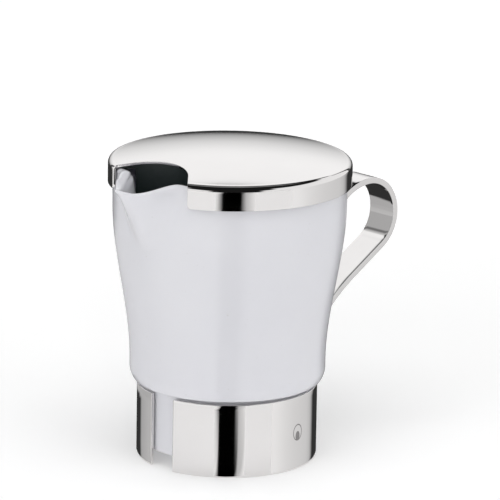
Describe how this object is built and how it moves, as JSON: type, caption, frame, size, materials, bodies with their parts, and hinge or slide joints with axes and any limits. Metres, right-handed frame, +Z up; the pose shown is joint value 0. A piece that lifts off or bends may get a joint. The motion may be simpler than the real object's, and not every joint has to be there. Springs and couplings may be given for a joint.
{
  "type": "cream jug",
  "caption": "Small lidded cream jug: white glazed vessel with a pulled spout, split steel base ring, bent strap handle and a lift-off notched lid.",
  "frame": {"origin": "on the vessel's axis, in the plane the base ring stands on", "axes": "+Z up along the vessel's axis, +X towards the handle, -X towards the spout; XZ is the plane of symmetry"},
  "size_m": [0.1243, 0.08, 0.1038],
  "materials": {
    "porcelain": "gloss",
    "polished_steel": "polished",
    "adhesive": "satin",
    "black_plastic": "satin",
    "silicone": "matte"
  },
  "bodies": {
    "jug": {"vessel": "porcelain", "base_ring": "polished_steel", "ring_liner": "adhesive", "handle_strap": "polished_steel", "upper_bond": "adhesive", "lower_bond": "adhesive"},
    "lid": {"lid_cap": "polished_steel", "lid_insert": "black_plastic", "lid_seal": "silicone"}
  },
  "joints": [
    {"name": "lid_lift", "type": "slide", "parent": "jug", "child": "lid", "axis": [0, 0, 1], "range_m": [0, 0.035]}
  ]
}
